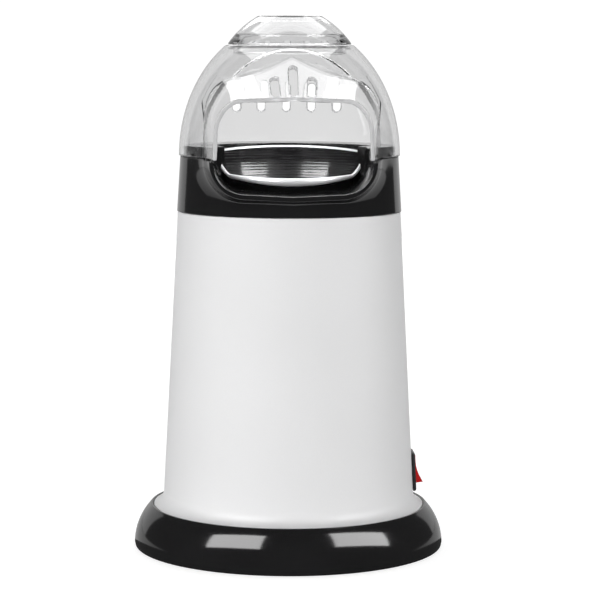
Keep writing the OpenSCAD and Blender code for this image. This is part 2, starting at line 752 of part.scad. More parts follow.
// The dome's solid, inset from its outer face.
module dome_solid(inset, top) {
  rings = 18;
  low = hood_z - inset;
  rotate_extrude($fn = 128) polygon(concat(
    [[0, low], [hood_r - inset, low]],
    [for (i = [1 : rings]) let (z = hood_z + (top - hood_z) * sin(90 * i / rings)) [dome_r(z, inset), z]],
    [[0, top]]));
}

// One section of the spout's upper half: walls, rounded corners and a low gable.
module arch_slice(y, half, corner, shoulder, top, low) {
  translate([0, y, 0]) rotate([90, 0, 0]) linear_extrude(0.2) hull() {
    for (s = [-1, 1]) {
      translate([s * half - 0.25, low]) square([0.5, 0.5]);
      translate([s * (half - corner - 1), shoulder - corner]) circle(r = corner, $fn = 40);
    }
    translate([0, top - 8]) circle(r = 8, $fn = 40);
  }
}

module spout_solid(inset) {
  low = hood_z - (inset > 0 ? 5 : 0);
  reach = inset > 0 ? 0.3 : 0;
  hull() {
    arch_slice(-lip_y + 0.2 - reach, mouth_half + 2.2 - inset, 13 - inset / 2,
      mouth_top + 1.6 - inset, mouth_top + 2.2 - inset, low);
    arch_slice(front_y + 6, side_half + 0.6 - inset, 9,
      gable_side + 3 - inset, gable_top + 3.5 - inset, low);
  }
}

module hood() {
  color(clear) difference() {
    union() {
      intersection() {
        dome_solid(0, cap_seat_z);
        translate([-80, front_y, 0]) cube([160, 160, 300]);
      }
      intersection() {
        spout_solid(0);
        translate([-80, -90, 0]) cube([160, 90 + front_y + 1, 300]);
      }
    }
    intersection() {
      dome_solid(hood_wall, cap_seat_z + 0.9);
      translate([-80, front_y + hood_wall, 0]) cube([160, 160, 300]);
    }
    intersection() {
      spout_solid(hood_wall);
      dome_trim();
    }
    translate([0, 0, 250]) cylinder(r = fill_r, h = 40);
    for (k = [-1, 0, 1]) translate([k * slot_pitch, slot_front, 0]) hood_slot(k == 0 ? 20 : 15);
    for (k = [0 : rear_slots - 1])
      translate([(k - (rear_slots - 1) / 2) * rear_slot_pitch, 0, 0]) rear_slot();
  }
}

// The spout's hollow stops at the front face of the dome's two shoulders.
module dome_trim() {
  union() {
    translate([-80, -90, 0]) cube([160, 90 + front_y + 1, 300]);
    intersection() {
      dome_solid(hood_wall, cap_seat_z);
      translate([-80, front_y - 1, 0]) cube([160, 12, 300]);
    }
  }
}

// A slot through the spout's roof that runs back from y = 0.
module hood_slot(length) {
  translate([-slot_w / 2, 0, 235]) cube([slot_w, length, 40]);
}

module rear_slot() {
  translate([-2, 20, 232]) cube([4, 40, 13]);
  translate([0, 20, 232]) rotate([-90, 0, 0]) cylinder(r = 2, h = 40, $fn = 24);
}

module measuring_cap() {
  chord = norm([cap_r - cap_top_r, cap_top - cap_low]);
  away = sqrt(cap_bulge * cap_bulge - chord * chord / 4);
  dir = [cap_top - cap_low, cap_r - cap_top_r] / chord;
  cx = (cap_r + cap_top_r) / 2 - away * dir[0];
  cz = (cap_low + cap_top) / 2 - away * dir[1];
  a0 = atan2(cap_low - cz, cap_r - cx);
  a1 = atan2(cap_top - cz, cap_top_r - cx);
  color(clear) rotate_extrude($fn = 128) polygon(concat(
    arc(cx, cz, cap_bulge, a0, a1, 8),
    [[0, cap_top], [0, cap_top - hood_wall]],
    arc(cx, cz, cap_bulge - hood_wall, a1 - 1.5, a0 + 8, 7),
    [[cap_skirt_r - hood_wall + 0.4, cap_low], [cap_skirt_r - hood_wall + 0.4, cap_skirt_low],
     [cap_skirt_r, cap_skirt_low], [cap_skirt_r, cap_low]]));
}

body_shell();
upper_collar();
base_ring();
bottom_plate();
feet();
base_screws();
tie_rods();
tie_nuts();
popping_chamber();
chamber_gasket();
chamber_screws();
heater_housing();
heater_frame();
heating_coil();
heat_shield();
thermostat();
thermal_fuse();
fan_housing();
fan_housing_screws();
motor_mount();
motor_mount_screws();
motor_can();
motor_end_cap();
motor_magnets();
upper_bush();
lower_bush();
motor_shaft();
motor_armature();
commutator();
fan_impeller();
rectifier_board();
rectifier_diodes();
terminal_block();
terminal_screws();
cord_grommet();
cord_clamp();
clamp_screws();
switch_housing();
switch_terminals();
switch_rocker();
mains_leads();
heater_leads();
motor_leads();
hood();
measuring_cap();
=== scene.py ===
import json
import math

import bmesh
import bpy
import numpy as np
from mathutils import Matrix, Vector


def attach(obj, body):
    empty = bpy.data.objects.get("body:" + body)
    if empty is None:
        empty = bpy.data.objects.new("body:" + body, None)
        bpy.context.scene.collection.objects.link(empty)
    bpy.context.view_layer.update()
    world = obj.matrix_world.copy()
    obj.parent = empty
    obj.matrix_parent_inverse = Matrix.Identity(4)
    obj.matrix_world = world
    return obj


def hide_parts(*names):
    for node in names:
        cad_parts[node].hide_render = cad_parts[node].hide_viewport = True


# Looks of a hot-air popcorn maker. Shapes are written in millimetres in the part's own frame:
# the origin is the centre of the base on the table, +Z is up and the spout faces -Y.
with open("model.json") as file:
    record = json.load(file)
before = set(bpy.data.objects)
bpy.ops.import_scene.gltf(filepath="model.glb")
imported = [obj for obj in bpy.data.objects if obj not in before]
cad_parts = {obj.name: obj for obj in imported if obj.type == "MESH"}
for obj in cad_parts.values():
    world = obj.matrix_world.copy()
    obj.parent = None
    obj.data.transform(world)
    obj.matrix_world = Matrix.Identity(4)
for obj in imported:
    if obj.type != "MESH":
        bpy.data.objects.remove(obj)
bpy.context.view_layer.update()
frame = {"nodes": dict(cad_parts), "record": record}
scene = bpy.context.scene
MM = 0.001

# Sizes shared with the part
BODY_FOOT_R, BODY_FOOT_Z = 66.4, 30.0
BODY_TOP_R, SEAM_Z = 58.7, 178.7
SHOULDER_Z, DECK_Z, DECK_HOLE_R = 207.7, 207.6, 43.0
NECK_R, NECK_Z = 55.7, 213.5
HOOD_Z, HOOD_R, DOME_RISE, HOOD_WALL = 208.0, 58.1, 70.6, 2.0
CAP_SEAT_Z, FILL_R = 265.7, 30.2
FRONT_Y, LIP_Y = -36.0, -64.5
CHAMBER_R, SHEET = 40.0, 0.8
SWITCH_Z, GLAND_Z, SEAT_Z = 40.0, 36.0, 21.1
FOOT_RING_R, FOOT_ANGLES = 73.0, (45, 135, 225, 315)


# ---------------------------------------------------------------- camera, floor and light

def set_camera():
    data = bpy.data.cameras.new("camera")
    data.lens = 138
    data.sensor_width = 36
    data.clip_end = 20
    cam = bpy.data.objects.new("camera", data)
    scene.collection.objects.link(cam)
    cam.location = (-0.0427, -1.2110, 0.2611)
    cam.rotation_euler = (math.radians(83.89), math.radians(-0.2), math.radians(-2.274))
    scene.camera = cam


def toward(azimuth, elevation):
    """Unit vector from the part; azimuth is measured from the front, positive to the right."""
    a, e = math.radians(azimuth), math.radians(elevation)
    return Vector((math.sin(a) * math.cos(e), -math.cos(a) * math.cos(e), math.sin(e)))


def softbox(name, place, size, radiance, facing=None, roll=0, lights=True, shines=True):
    """A rectangular light at (azimuth, elevation, distance in metres) from the part's middle.

    It lights matt surfaces, shines in glossy and clear ones, or does both.
    """
    azimuth, elevation, distance = place
    middle = Vector((0, 0, 0.13))
    data = bpy.data.lights.new(name, "AREA")
    data.shape = "RECTANGLE"
    data.size, data.size_y = size
    data.energy = radiance * math.pi * size[0] * size[1]
    light = bpy.data.objects.new(name, data)
    scene.collection.objects.link(light)
    light.location = middle + distance * toward(azimuth, elevation)
    back = toward(*(facing or (azimuth, elevation)))
    across = Vector((0, 0, 1)).cross(back).normalized()
    turn = Matrix((across, back.cross(across), back)).transposed()
    light.rotation_euler = (turn @ Matrix.Rotation(math.radians(roll), 3, "Z")).to_euler()
    light.visible_camera = False
    light.visible_transmission = shines
    light.visible_diffuse = lights
    light.visible_glossy = shines


def add(tree, kind, **values):
    """Adds a shader node and sets its inputs; an underscore stands for a space in an input's name."""
    node = tree.nodes.new(kind)
    for name, value in values.items():
        node.inputs[name.replace("_", " ")].default_value = value
    return node


def glow(name, near, far=None, lit=0.0):
    """Stage material that shines evenly, or more so away from the part than close to it."""
    fade_from, fade_to = 0.09, 0.4
    mat = bpy.data.materials.new(name)
    mat.use_nodes = True
    tree = mat.node_tree
    link = tree.links.new
    shader = tree.nodes["Principled BSDF"]
    place = add(tree, "ShaderNodeTexCoord")
    length = add(tree, "ShaderNodeVectorMath")
    length.operation = "LENGTH"
    link(place.outputs["Object"], length.inputs[0])
    fade = add(tree, "ShaderNodeMapRange", From_Min=fade_from, From_Max=fade_to,
               To_Min=near, To_Max=far or near)
    fade.interpolation_type = "SMOOTHSTEP"
    link(length.outputs["Value"], fade.inputs["Value"])
    link(fade.outputs["Result"], shader.inputs["Emission Strength"])
    shader.inputs["Emission Color"].default_value = (1, 1, 1, 1)
    shader.inputs["Base Color"].default_value = (lit, lit, lit, 1)
    shader.inputs["Roughness"].default_value = 1
    shader.inputs["Specular IOR Level"].default_value = 0
    return mat


def sweep(name, profile, first, last, material):
    """Turns a (radius, height) profile in metres about Z between two angles, as part of the stage."""
    steps = 48
    angles = np.radians(np.linspace(first, last, steps + 1))
    verts = [(r * math.cos(a), r * math.sin(a), z) for r, z in profile for a in angles]
    row = steps + 1
    corners = [i * row + k for i in range(len(profile) - 1) for k in range(steps)]
    mesh = bpy.data.meshes.new(name)
    mesh.from_pydata(verts, [], [(c, c + 1, c + row + 1, c + row) for c in corners])
    mesh.shade_smooth()
    mesh.materials.append(material)
    obj = bpy.data.objects.new(name, mesh)
    scene.collection.objects.link(obj)
    obj.visible_diffuse = False
    obj.visible_shadow = False
    return obj


def set_stage():
    """A pale floor, a round pale backdrop that bends up from it, and plain studio light.

    The camera sees the floor and the backdrop. What shows through clear plastic is bright in front
    and behind and dim at the sides and above. Gloss mirrors only what is behind the part, and the
    softboxes. The softboxes that shine in the gloss light nothing, and the fills do the reverse.
    """
    bend, radius, height = 0.5, 2.6, 3.2
    wall = [(radius - bend + bend * math.sin(t), bend - bend * math.cos(t))
            for t in np.linspace(0, math.pi / 2, 12)] + [(radius, height)]
    ground = [(0.002, 0), (0.12, 0), (0.3, 0), (1.0, 0), (radius - bend, 0)]
    shell = [(r - 0.01, z + 0.01) for r, z in wall]
    room = ground + shell
    dim, bright = glow("dim_side", 0.3), glow("clear_view", 0.86)
    seen = [sweep("floor", ground, 0, 360, glow("pale_floor", 0.84, 1.02, 0.4)),
            sweep("backdrop", wall, 0, 360, glow("pale_backdrop", 1.06))]
    through = [sweep("behind_seen", room, 46, 134, bright),
               sweep("ahead_seen", room, 226, 314, bright),
               sweep("left_seen", room, 134, 226, dim),
               sweep("right_seen", room, 314, 406, dim),
               sweep("canopy", [(0.002, height + 0.1), (radius, height)], 0, 360, dim)]
    mirrored = [sweep("behind_mirrored", shell, 46, 134, glow("behind_mirrored", 0.6)),
                sweep("floor_mirrored", ground, 10, 170, glow("floor_mirrored", 0.5))]
    for obj in seen + through + mirrored:
        obj.visible_camera = obj in seen
        obj.visible_transmission = obj in through
        obj.visible_glossy = obj in mirrored

    world = bpy.data.worlds.new("studio")
    scene.world = world
    world.use_nodes = True
    world.node_tree.nodes["Background"].inputs["Color"].default_value = (1, 1, 1, 1)
    world.node_tree.nodes["Background"].inputs["Strength"].default_value = 0.06
    softbox("key_left", (-53, 38, 1.3), (0.95, 0.69), 9.0, facing=(-23, 17), roll=3, lights=False)
    softbox("key_right", (68, 34, 1.3), (1.04, 0.66), 9.0, facing=(31, 18), roll=-9, lights=False)
    softbox("overhead", (180, 72, 1.5), (1.7, 1.0), 2.3, lights=False)
    softbox("behind", (180, 42, 1.5), (0.95, 0.9), 2.3, lights=False)
    softbox("fill_left", (-66, 2, 2.0), (1.6, 1.6), 3.1, shines=False)
    softbox("fill_right", (74, 2, 2.0), (1.6, 1.6), 2.6, shines=False)
    softbox("fill_front", (-6, -4, 2.0), (3.0, 2.2), 1.7, shines=False)
    softbox("fill_back", (180, 0, 2.0), (2.6, 2.0), 1.5, shines=False)
    softbox("fill_top", (180, 75, 1.4), (1.4, 1.0), 1.4, shines=False)
    scene.view_settings.view_transform = "Standard"


# ---------------------------------------------------------------- materials

def paint(name, colour, rough, metallic=0.0, vary=0.05, grain=700.0, bump=0.03, depth=0.0002,
          stretch=(1, 1, 1), **sockets):
    """A plain material whose colour, roughness and relief all vary with fine solid noise."""
    swing = 0.12
    mat = bpy.data.materials.new(name)
    mat.use_nodes = True
    tree = mat.node_tree
    link = tree.links.new
    shader = tree.nodes["Principled BSDF"]
    place = add(tree, "ShaderNodeTexCoord")
    mapping = add(tree, "ShaderNodeMapping", Scale=stretch)
    link(place.outputs["Object"], mapping.inputs["Vector"])
    fine = add(tree, "ShaderNodeTexNoise", Scale=grain, Detail=4.0)
    link(mapping.outputs["Vector"], fine.inputs["Vector"])
    broad = add(tree, "ShaderNodeTexNoise", Scale=22.0, Detail=3.0)
    link(place.outputs["Object"], broad.inputs["Vector"])
    both = add(tree, "ShaderNodeMath")
    both.operation = "MULTIPLY"
    link(fine.outputs["Fac"], both.inputs[0])
    link(broad.outputs["Fac"], both.inputs[1])
    tint = add(tree, "ShaderNodeMapRange", From_Min=0.1, From_Max=0.4)
    link(both.outputs["Value"], tint.inputs["Value"])
    mix = add(tree, "ShaderNodeMix")
    mix.data_type = "RGBA"
    mix.inputs[6].default_value = (*[c * (1 - vary) for c in colour], 1)
    mix.inputs[7].default_value = (*[min(1.0, c * (1 + vary)) for c in colour], 1)
    link(tint.outputs["Result"], mix.inputs[0])
    link(mix.outputs[2], shader.inputs["Base Color"])
    haze = add(tree, "ShaderNodeMapRange", From_Min=0.3, From_Max=0.7,
               To_Min=rough * (1 - swing), To_Max=rough * (1 + swing))
    link(broad.outputs["Fac"], haze.inputs["Value"])
    link(haze.outputs["Result"], shader.inputs["Roughness"])
    relief = add(tree, "ShaderNodeBump", Strength=bump, Distance=depth)
    link(fine.outputs["Fac"], relief.inputs["Height"])
    link(relief.outputs["Normal"], shader.inputs["Normal"])
    shader.inputs["Metallic"].default_value = metallic
    for socket, value in sockets.items():
        shader.inputs[socket.replace("_", " ")].default_value = value
    return mat


def make_materials():
    """One material for each of the record's slots, and two more: bare metal, and a paler clear plastic whose
    matt part paints in the bright light along the hood's edges.
    """
    white = dict(vary=0.012, grain=1400.0, bump=0.05, depth=0.00012)
    gloss = dict(vary=0.15, grain=500.0, bump=0.012, depth=0.0001, IOR=1.53)
    clear = dict(vary=0.01, grain=60.0, bump=0.05, depth=0.0004, IOR=1.54)
    turned = dict(vary=0.2, grain=520.0, bump=0.5, depth=0.0003, stretch=(0.02, 0.02, 1), IOR=1.8)
    looks = {
        "white_shell": dict(colour=(0.80, 0.80, 0.805), rough=0.45, **white),
        "black_gloss": dict(colour=(0.010, 0.010, 0.0104), rough=0.1, **gloss),
        "black_matte": dict(colour=(0.015, 0.015, 0.016), rough=0.5, vary=0.2, bump=0.12),
        "clear_plastic": dict(colour=(0.97, 0.97, 0.972), rough=0.02, Transmission_Weight=1.0, **clear),
        # Painted light: partly matt and pale, so the hood's lip and slot walls show as bright lines.
        "clear_edge_painted_light": dict(colour=(0.86, 0.86, 0.87), rough=0.25, Transmission_Weight=0.35, **clear),
        "coated_aluminium": dict(colour=(0.012, 0.012, 0.0125), rough=0.14, metallic=0.05, **turned),
        "bare_rim": dict(colour=(0.9, 0.9, 0.91), rough=0.36, metallic=0.35, vary=0.06, grain=900.0,
                         bump=0.05, stretch=(0.1, 0.1, 1)),
        "steel": dict(colour=(0.56, 0.57, 0.58), rough=0.33, metallic=1.0, vary=0.1, grain=900.0,
                      bump=0.08, stretch=(0.05, 0.05, 1)),
        "screw_steel": dict(colour=(0.5, 0.51, 0.52), rough=0.3, metallic=1.0, vary=0.12, bump=0.1),
        "brass": dict(colour=(0.72, 0.52, 0.22), rough=0.28, metallic=1.0, vary=0.1, bump=0.08),
        "rubber": dict(colour=(0.02, 0.02, 0.02), rough=0.7, vary=0.25, grain=1500.0, bump=0.3),
        "silicone": dict(colour=(0.5, 0.1, 0.05), rough=0.55, vary=0.1, bump=0.15),
        "mica": dict(colour=(0.55, 0.48, 0.34), rough=0.42, vary=0.3, grain=260.0, bump=0.25),
        "nichrome": dict(colour=(0.22, 0.2, 0.19), rough=0.45, metallic=1.0, vary=0.3, bump=0.2),
        "ceramic_white": dict(colour=(0.78, 0.75, 0.68), rough=0.5, vary=0.06, bump=0.15),
        "grey_plastic": dict(colour=(0.2, 0.2, 0.21), rough=0.45, vary=0.08, bump=0.12),
        "winding": dict(colour=(0.42, 0.17, 0.06), rough=0.3, metallic=0.9, vary=0.25, grain=1600.0,
                        bump=0.5, stretch=(1, 1, 0.05)),
        "magnet": dict(colour=(0.08, 0.08, 0.085), rough=0.6, metallic=0.3, vary=0.2, bump=0.3),
        "board": dict(colour=(0.36, 0.24, 0.08), rough=0.5, vary=0.12, bump=0.15),
        "red_rocker": dict(colour=(0.72, 0.012, 0.012), rough=0.14, vary=0.08, Transmission_Weight=0.25,
                           IOR=1.5),
        "lead_sleeve": dict(colour=(0.55, 0.52, 0.48), rough=0.5, vary=0.1, grain=1800.0, bump=0.25),
    }
    mats = {name: paint(name, **look) for name, look in looks.items()}
    for name in ("clear_plastic", "clear_edge_painted_light"):
        tree = mats[name].node_tree
        haze = add(tree, "ShaderNodeVolumeAbsorption", Color=(0.1, 0.1, 0.11, 1), Density=32)
        tree.links.new(haze.outputs["Volume"], tree.nodes["Material Output"].inputs["Volume"])
    return mats


# ---------------------------------------------------------------- mesh tools

def make(name, shape, material, body, node):
    """A smooth piece that rides on a body in place of a CAD node.

    A shape is (points in millimetres, faces, normals at the points or None).
    """
    verts, faces, normals = shape
    mesh = bpy.data.meshes.new(name)
    mesh.from_pydata((np.asarray(verts, float) * MM).tolist(), [], [tuple(map(int, f)) for f in faces])
    mesh.shade_smooth()
    if normals is not None:
        mesh.normals_split_custom_set_from_vertices(np.asarray(normals, float).tolist())
    mesh.materials.append(MATS[material])
    obj = bpy.data.objects.new(name, mesh)
    scene.collection.objects.link(obj)
    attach(obj, body)
    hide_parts(node)
    return obj


def unit(v):
    return v / max(float(np.hypot(*v)), 1e-12)


def ease(t):
    """Smooth step from 0 to 1."""
    return t * t * (3 - 2 * t)


def arc(centre, radius, first, last, count):
    """Unrounded corners along an arc in the (radius, height) plane, between two angles in radians."""
    return [(centre[0] + radius * math.cos(t), centre[1] + radius * math.sin(t), 0)
            for t in np.linspace(first, last, count)]


def outline(corners, steps=6, closed=True):
    """Rounds the corners (r, z, radius) of an anticlockwise outline; returns points and normals."""
    points, normals = [], []
    n = len(corners)
    for i, (r, z, rad) in enumerate(corners):
        p = np.array([r, z], float)
        back = unit(np.array(corners[i - 1][:2], float) - p)
        on = unit(np.array(corners[(i + 1) % n][:2], float) - p)
        into, out = np.array([-back[1], back[0]]), np.array([on[1], -on[0]])
        if not closed and i in (0, n - 1):
            points.append(p)
            normals.append(out if i == 0 else into)
        elif rad == 0:
            points.append(p)
            normals.append(unit(into + out))
        else:
            half = math.acos(float(np.clip(np.dot(back, on), -1, 1))) / 2
            reach, centre = rad / math.tan(half), p + unit(back + on) * rad / math.sin(half)
            first, last = p + back * reach, p + on * reach
            turn = 1 if -back[0] * on[1] + back[1] * on[0] > 0 else -1
            a0 = math.atan2(*(first - centre)[::-1])
            a1 = math.atan2(*(last - centre)[::-1])
            span = (a1 - a0 + math.pi) % (2 * math.pi) - math.pi
            for k in range(steps + 1):
                a = a0 + span * k / steps
                direction = np.array([math.cos(a), math.sin(a)])
                points.append(centre + rad * direction)
                normals.append(turn * direction)
    return np.array(points), np.array(normals)


def lathe(profile, columns=180, closed=True, angles=None, holes=()):
    """Turns a profile about the Z axis. A hole is (first angle, last angle, low, high)."""
    points, normals = profile
    tiny = 1e-6
    if angles is None:
        angles = 2 * math.pi * np.arange(columns) / columns
    angles = np.asarray(angles)
    cos, sin, count = np.cos(angles), np.sin(angles), len(angles)
    verts, shade, base = [], [], []
    for (r, z), (u, v) in zip(points, normals):
        base.append(len(verts))
        if r < tiny:
            verts.append((0, 0, z))
            shade.append((0, 0, 1 if v > 0 else -1))
        else:
            verts += list(zip(r * cos, r * sin, np.full(count, z)))
            shade += list(zip(u * cos, u * sin, np.full(count, v)))

    def at(i, j):
        return base[i] if points[i][0] < tiny else base[i] + j % count

    def open_at(turn, low, high):
        return any(a0 - tiny <= turn < a1 - tiny and bottom - tiny <= low and high <= top + tiny
                   for a0, a1, bottom, top in holes)

    faces = []
    n = len(points)
    for i in range(n if closed else n - 1):
        k = (i + 1) % n
        low, high = sorted((points[i][1], points[k][1]))
        for j in range(count):
            if open_at(angles[j] % (2 * math.pi), low, high):
                continue
            loop = list(dict.fromkeys((at(i, j), at(i, j + 1), at(k, j + 1), at(k, j))))
            if len(loop) > 2:
                faces.append(loop)
    return verts, faces, shade


def join(*shapes):
    """Puts several shapes together."""
    verts, faces, shade = [], [], []
    for v, f, s in shapes:
        faces += [[i + len(verts) for i in loop] for loop in f]
        verts += list(map(tuple, v))
        shade += list(map(tuple, s))
    return verts, faces, shade


def around(shape, radius, degrees):
    """Copies of a shape, each moved out to a circle about the Z axis."""
    verts, faces, shade = shape
    shifts = [(radius * math.cos(a), radius * math.sin(a), 0) for a in np.radians(degrees)]
    return join(*[([tuple(np.add(p, shift)) for p in verts], faces, shade) for shift in shifts])


def rod(radius, low, high, edge=0.3, columns=36):
    """A solid pin along Z with rounded ends."""
    corners = [(0, low, 0), (radius, low, edge), (radius, high, edge), (0, high, 0)]
    return lathe(outline(corners, 3, closed=False), columns, closed=False)


def loft(loops):
    """Walls between loops of as many points each, closed with a flat face at both ends."""
    n = len(loops[0])
    verts = [point for loop in loops for point in loop]
    faces = [(i * n + k, i * n + (k + 1) % n, (i + 1) * n + (k + 1) % n, (i + 1) * n + k)
             for i in range(len(loops) - 1) for k in range(n)]
    faces += [tuple(range(n))[::-1], tuple(range(len(verts) - n, len(verts)))]
    return verts, faces


def tilted(points, angle):
    """Points turned about the Y axis."""
    p = np.asarray(points, float)
    cos, sin = math.cos(angle), math.sin(angle)
    return np.stack([p[:, 0] * cos + p[:, 2] * sin, p[:, 1], -p[:, 0] * sin + p[:, 2] * cos], 1)


def round_max(a, b, r):
    """Intersection of two signed fields with an edge rounded to radius r."""
    return np.minimum(np.maximum(a, b), -r) + np.hypot(np.maximum(a + r, 0), np.maximum(b + r, 0))


def round_min(a, b, r):
    return -round_max(-a, -b, r)


def between(pair, u):
    return pair[0] + (pair[1] - pair[0]) * u


def gradient(field, p, step):
    """Slope of a field at points, by differences over a step to either side."""
    out = np.empty_like(p)
    for k, shift in enumerate(step * np.eye(3)):
        out[:, k] = (field(*(p + shift).T) - field(*(p - shift).T)) / (2 * step)
    return out


def net(field, low, high, cell):
    """A shape of quads on the zero level of a field that is negative inside, with exact normals."""
    low = np.array(low, float)
    axes = [np.arange(a, b + cell, cell) for a, b in zip(low, high)]
    value = field(*np.meshgrid(*axes, indexing="ij"))
    cells = tuple(n - 1 for n in value.shape)
    total, count = np.zeros(cells + (3,)), np.zeros(cells)
    rings = []
    for axis in range(3):
        first = tuple(slice(0, -1) if k == axis else slice(None) for k in range(3))
        last = tuple(slice(1, None) if k == axis else slice(None) for k in range(3))
        a, b = value[first], value[last]
        crossing = (a < 0) != (b < 0)
        edge = np.argwhere(crossing)
        a, b = a[crossing], b[crossing]
        where = edge.astype(float)
        where[:, axis] += a / (a - b)
        p, q = [k for k in range(3) if k != axis]
        ring = []
        for dp, dq in ((0, 0), (-1, 0), (-1, -1), (0, -1)):
            cube = edge.copy()
            cube[:, p] += dp
            cube[:, q] += dq
            np.add.at(total, tuple(cube.T), where)
            np.add.at(count, tuple(cube.T), 1)
            ring.append(np.ravel_multi_index(cube.T, cells))
        ring = np.stack(ring, 1)
        flip = (a >= 0) != (axis == 1)
        ring[flip] = ring[flip][:, ::-1]
        rings.append(ring)
    used = np.flatnonzero(count.ravel())
    number = np.full(count.size, -1)
    number[used] = np.arange(len(used))
    verts = low + cell * total.reshape(-1, 3)[used] / count.ravel()[used, None]

    # Each point then slides down the slope onto the surface, a third of a cell at a time at most.
    for _ in range(5):
        g = gradient(field, verts, 0.02)
        size = np.maximum((g * g).sum(1), 1e-3)
        move = -(field(*verts.T) / size)[:, None] * g
        far = np.maximum(np.linalg.norm(move, axis=1) / (0.35 * cell), 1)
        verts = verts + move / far[:, None]
    g = gradient(field, verts, 0.06)
    g /= np.maximum(np.linalg.norm(g, axis=1), 1e-9)[:, None]
    return verts, number[np.concatenate(rings)], g


# ---------------------------------------------------------------- white body and base

def body_r(z):
    return BODY_FOOT_R + (BODY_TOP_R - BODY_FOOT_R) * (z - BODY_FOOT_Z) / (SEAM_Z - BODY_FOOT_Z)


def build_body():
    """The tapered white tower with its turned-out foot, and openings for the switch and gland."""
    wall, flange_r, fillet = 2.0, 71.6, 7.1
    bore_foot, bore_top = (BODY_FOOT_R - wall, BODY_FOOT_Z - 2), (BODY_TOP_R - wall, SEAM_Z - 5)
    spigot_r, spigot_z = 57.55, 183.6
    columns, keep_clear = 180, 0.012

    def bore_r(z):
        return between((bore_foot[0], bore_top[0]), (z - bore_foot[1]) / (bore_top[1] - bore_foot[1]))

    window, gland = (SWITCH_Z - 9.4, SWITCH_Z + 9.4), (GLAND_Z - 4.6, GLAND_Z + 4.6)
    rows = sorted(window + gland)
    corners = [(bore_foot[0], SEAT_Z, 0.3), (flange_r, SEAT_Z, 0.3), (flange_r, 22.75, 0.85)]
    corners += arc((BODY_FOOT_R + fillet, BODY_FOOT_Z), fillet, math.radians(254), math.pi, 22)
    corners += [(body_r(z), z, 0) for z in rows] + [(BODY_TOP_R, SEAM_Z, 0.35), (spigot_r, SEAM_Z, 0.2)]
    corners += [(spigot_r, spigot_z, 0.25), (spigot_r - 0.8, spigot_z, 0.25), (*bore_top, 0)]
    corners += [(bore_r(z), z, 0) for z in reversed(rows)] + [(*bore_foot, 0.6)]

    window_side, window_r, gland_side, gland_r = 6.5, 65.9, 4.6, 66.1
    half_window, half_gland = math.asin(window_side / window_r), math.asin(gland_side / gland_r)
    full, rear = 2 * math.pi, math.pi / 2
    marks = [half_window, full - half_window, rear - half_gland, rear + half_gland]
    angles = full * np.arange(columns) / columns
    angles = sorted([a for a in angles if min(abs(a - m) for m in marks) > keep_clear] + marks)
    holes = [(0, half_window, *window), (full - half_window, full, *window),
             (rear - half_gland, rear + half_gland, *gland)]
    pieces = [lathe(outline(corners), angles=angles, holes=holes)]
    for middle, half, (low, high) in ((0, half_window, window), (rear, half_gland, gland)):
        turns = np.linspace(middle - half, middle + half, 7)
        for z, way in ((low, 1), (high, -1)):
            edge = [(r * math.cos(t), r * math.sin(t), z)
                    for t in turns for r in (bore_r(z), body_r(z))]
            faces = [[2 * k, 2 * k + 1, 2 * k + 3, 2 * k + 2][::way] for k in range(len(turns) - 1)]
            pieces.append((edge, faces, [(0, 0, way)] * len(edge)))
        for t, way in ((turns[0], 1), (turns[-1], -1)):
            edge = [(r * math.cos(t), r * math.sin(t), z)
                    for z in (low, high) for r in (bore_r(z), body_r(z))]
            facing = (-way * math.sin(t), way * math.cos(t), 0)
            pieces.append((edge, [[0, 2, 3, 1][::way]], [facing] * len(edge)))
    make("white_body", join(*pieces), "white_shell", "housing", "body_shell")


def build_base():
    """The broad black ring with a rounded side, a seat for the body, screw bosses and foot pads."""
    centre, side_r, wall = (52.0, 2.0), 30.0, 2.4
    low, seat_r, bore = 0.8, 71.9, 67.5
    corners = [(centre[0] + side_r - 2.8, low, 0.3), (centre[0] + side_r - 0.5, low, 0.8)]
    corners += arc(centre, side_r, math.radians(2), math.radians(43.5), 26)
    corners += [(73.2, 23.35, 0.5), (72.0, 23.2, 0.35), (seat_r, SEAT_Z, 0.15)]
    corners += [(bore, SEAT_Z, 0.3), (bore, SEAT_Z - wall, 0.3)]
    corners += arc(centre, side_r - wall, math.radians(34), math.radians(4), 16)
    ring = lathe(outline(corners), 220)
    bosses = around(rod(3.6, 6, 19.4), 70.5, (0, 90, 180, 270))
    pad = lathe(outline([(4, 0.9, 0), (5.5, 0.9, 0.2), (5.5, 3.4, 0.2), (4, 3.4, 0)]), 40)
    pads = around(pad, FOOT_RING_R, FOOT_ANGLES)
    make("black_base", join(ring, bosses, pads), "black_gloss", "housing", "base_ring")


def build_feet():
    """Four rubber discs that reach a little below the base ring."""
    side = outline([(0, 0, 0), (3.6, 0, 0.5), (3.7, 2.1, 0.2), (0, 2.1, 0)], 4, closed=False)
    feet = around(lathe(side, 40, closed=False), FOOT_RING_R, FOOT_ANGLES)
    make("rubber_feet", feet, "rubber", "housing", "feet")


# ---------------------------------------------------------------- collar with the spout's trough

def polygon(points, r, z):
    """Signed distance to a closed outline in the (radius, height) plane, negative inside."""
    best = np.full(r.shape, np.inf)
    sign = np.ones(r.shape)
    for (ax, az), (bx, bz) in zip(points, points[1:] + points[:1]):
        ex, ez, wx, wz = bx - ax, bz - az, r - ax, z - az
        t = np.clip((wx * ex + wz * ez) / (ex * ex + ez * ez), 0, 1)
        best = np.minimum(best, (wx - ex * t) ** 2 + (wz - ez * t) ** 2)
        up, down, left = z >= az, z < bz, ex * wz > ez * wx
        sign = np.where((up & down & left) | (~up & ~down & ~left), -sign, sign)
    return sign * np.sqrt(best)


def trough(x, y, z, span, half, corner, low, bow):
    """A U-shaped channel along y. Each size is a pair: at the lip and at the back of the span."""
    u = (y - span[0]) / (span[1] - span[0])
    floor = between(low, u) + between(bow, u) * np.sqrt(x * x + 1)
    return round_max(np.abs(x) - between(half, u), floor - z, np.maximum(between(corner, u), 4))


